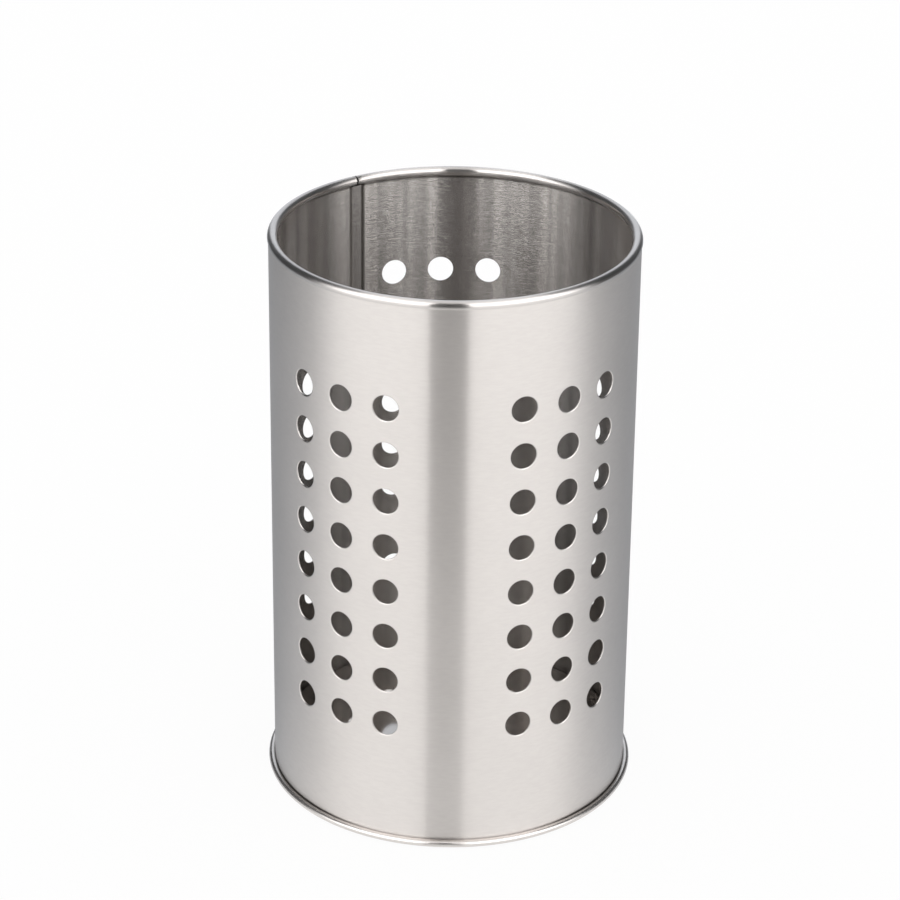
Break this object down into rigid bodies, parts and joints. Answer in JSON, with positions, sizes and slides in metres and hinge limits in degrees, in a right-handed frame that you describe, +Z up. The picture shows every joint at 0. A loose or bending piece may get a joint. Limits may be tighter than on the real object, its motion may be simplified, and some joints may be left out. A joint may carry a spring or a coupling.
{
  "type": "utensil holder",
  "caption": "Round open-topped utensil holder of perforated steel sheet, with a curled rim, a lock seam inside and a raised draining base pan seamed to its foot.",
  "frame": {"origin": "middle of the circle that the holder stands on, on the standing plane", "axes": "+Z up along the holder's axis towards its open mouth, -Y the side that faces the viewer, with the lock seam at the back"},
  "size_m": [0.118, 0.118, 0.184],
  "materials": {
    "wall_steel": "stainless sheet, fine brushed grain running round the wall",
    "base_steel": "stainless sheet, smooth mill finish with a soft mirror"
  },
  "bodies": {
    "root": {"perforated_wall": "wall_steel", "base_pan": "base_steel"}
  },
  "joints": []
}
